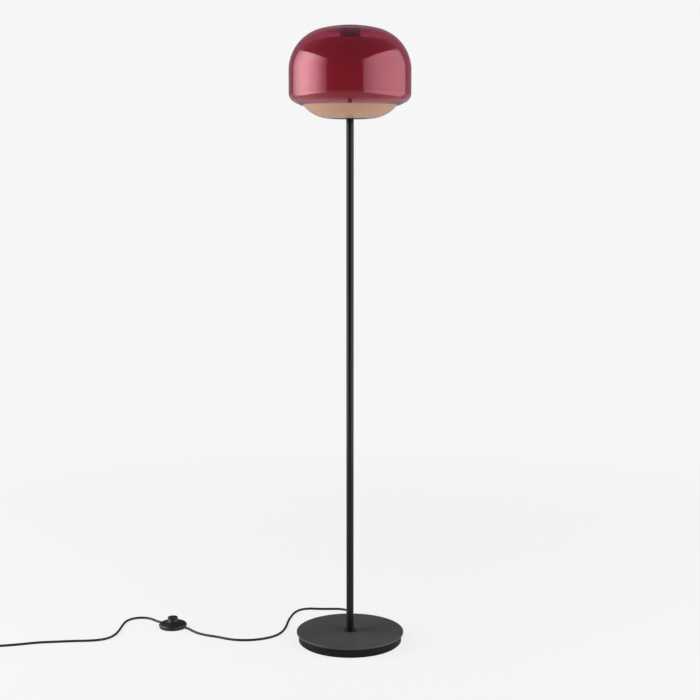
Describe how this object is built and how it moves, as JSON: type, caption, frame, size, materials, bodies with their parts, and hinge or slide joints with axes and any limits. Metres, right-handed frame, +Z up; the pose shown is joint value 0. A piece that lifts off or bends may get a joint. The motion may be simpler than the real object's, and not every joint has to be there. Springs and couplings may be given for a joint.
{
  "type": "floor lamp",
  "caption": "Mushroom floor lamp: weighted round base, slim pole, wide glass shade over an opal glass diffuser, foot switch on the cord.",
  "frame": {"origin": "on the floor, on the pole's axis: the centre of the underside of the base's foot ring", "axes": "+Z up along the pole, +Y towards the back of the base where the cord leaves, -X towards the side on which the foot switch and the plug lie"},
  "size_m": [1.1163, 0.4473, 1.5],
  "materials": {
    "black_metal": "satin black lacquer on steel",
    "zinc_steel": "zinc-plated steel",
    "cover_steel": "black-painted sheet steel",
    "cast_weight": "cast iron, painted black",
    "rubber": "soft black rubber",
    "cord_sheath": "black flexible cord sheath",
    "black_moulding": "black moulded plastic, satin",
    "brass": "bright brass",
    "ceramic": "unglazed white ceramic",
    "bulb_cap": "bright aluminium",
    "bulb_glass": "frosted glass",
    "opal_glass": "blown opal glass, satin",
    "red_glass": "blown clear red glass, glossy"
  },
  "bodies": {
    "lamp": {"base_cover": "cover_steel", "base_cover_screws": "zinc_steel", "base_nut": "zinc_steel", "base_plate": "black_metal", "base_rod": "zinc_steel", "base_washer": "zinc_steel", "base_weight": "cast_weight", "bulb_glass": "bulb_glass", "bulb_screw_cap": "bulb_cap", "bulb_strap": "zinc_steel", "cap_seal": "rubber", "cap_stud": "zinc_steel", "closing_disc": "cover_steel", "coil_tie": "black_moulding", "cord_bush": "black_moulding", "cord_clamp": "black_moulding", "cord_clamp_screws": "zinc_steel", "cord_coil": "cord_sheath", "cord_tail": "cord_sheath", "cord_to_coil": "cord_sheath", "cord_to_switch": "cord_sheath", "diffuser": "opal_glass", "disc_ring": "rubber", "foot_ring": "rubber", "glass_spacer": "black_metal", "head_nut": "zinc_steel", "head_rod": "zinc_steel", "holder_cap": "black_moulding", "holder_contact": "brass", "holder_core": "ceramic", "holder_skirt": "black_moulding", "holder_thread_shell": "brass", "plug_body": "black_moulding", "plug_pins": "brass", "plug_relief": "black_moulding", "pole_collar": "black_metal", "pole_foot_insert": "zinc_steel", "pole_lead": "cord_sheath", "pole_top_insert": "zinc_steel", "pole_tube": "black_metal", "rubber_washers": "rubber", "shade": "red_glass", "stud_nut": "zinc_steel", "support_plate": "zinc_steel", "switch_base": "black_moulding", "switch_base_screws": "zinc_steel", "switch_clamp_screws": "zinc_steel", "switch_contacts": "brass", "switch_cord_clamps": "black_moulding", "switch_cord_ends": "cord_sheath", "switch_cover": "black_moulding", "switch_feet": "rubber", "switch_module": "black_moulding", "switch_spring": "zinc_steel", "terminal_block": "black_moulding", "terminal_screws": "brass", "top_cap": "black_metal"},
    "foot_button": {"switch_button": "black_moulding"}
  },
  "joints": [
    {"name": "switch_button_press", "type": "slide", "parent": "lamp", "child": "foot_button", "axis": [0, 0, -1], "range_m": [0, 0.004], "stiffness_N_per_m": 600, "springref_m": -0.006, "deforming": ["switch_spring"]}
  ]
}
